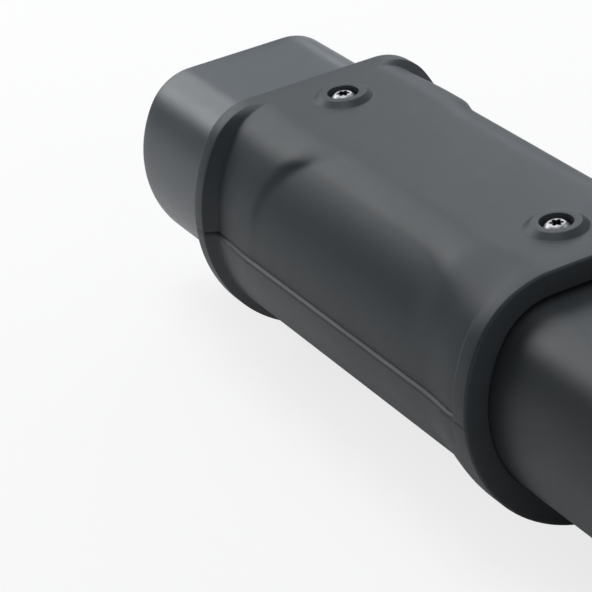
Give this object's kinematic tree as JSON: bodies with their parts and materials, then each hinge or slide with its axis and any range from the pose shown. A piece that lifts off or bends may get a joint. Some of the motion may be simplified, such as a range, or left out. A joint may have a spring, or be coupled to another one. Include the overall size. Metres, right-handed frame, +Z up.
{
  "type": "ev charging adapter",
  "caption": "Straight adapter with a D-shaped charging inlet at one end, a matching charging plug at the other, and a two-part grip housing between them.",
  "frame": {"origin": "under the middle of the adapter, on the surface that its two end rims rest on", "axes": "+X along the contact axis from the pin end to the sleeve end, +Z up through the shells' flats"},
  "size_m": [0.19, 0.067, 0.0613],
  "materials": {
    "housing_plastic": "fine satin moulded, charcoal",
    "shell_plastic": "satin moulded, charcoal",
    "insert_plastic": "matte moulded, mid grey",
    "contact_metal": "turned and silver plated",
    "tip_plastic": "matte grey",
    "retainer_plastic": "natural moulded",
    "screw_steel": "zinc plated",
    "gasket_rubber": "soft black",
    "earth_insulation": "green and yellow stripe",
    "line_insulation": "brown",
    "neutral_insulation": "blue",
    "pilot_insulation": "white",
    "sense_insulation": "orange",
    "joint_plastic": "shrunk black"
  },
  "bodies": {
    "root": {"upper_housing": "housing_plastic", "lower_housing": "housing_plastic", "inlet_shell": "shell_plastic", "plug_shell": "shell_plastic", "inlet_insert": "insert_plastic", "plug_insert": "insert_plastic", "earth_pin": "contact_metal", "line_pin": "contact_metal", "neutral_pin": "contact_metal", "pilot_pin": "contact_metal", "sense_pin": "contact_metal", "earth_sleeve": "contact_metal", "line_sleeve": "contact_metal", "neutral_sleeve": "contact_metal", "pilot_sleeve": "contact_metal", "sense_sleeve": "contact_metal", "touch_tips": "tip_plastic", "inlet_retainer": "retainer_plastic", "plug_retainer": "retainer_plastic", "retainer_screws": "screw_steel", "top_screws": "screw_steel", "bottom_screws": "screw_steel", "inlet_gasket": "gasket_rubber", "plug_gasket": "gasket_rubber", "earth_wire": "earth_insulation", "line_wire": "line_insulation", "neutral_wire": "neutral_insulation", "pilot_wire": "pilot_insulation", "sense_wire": "sense_insulation", "joint_sleeves": "joint_plastic"}
  },
  "joints": []
}
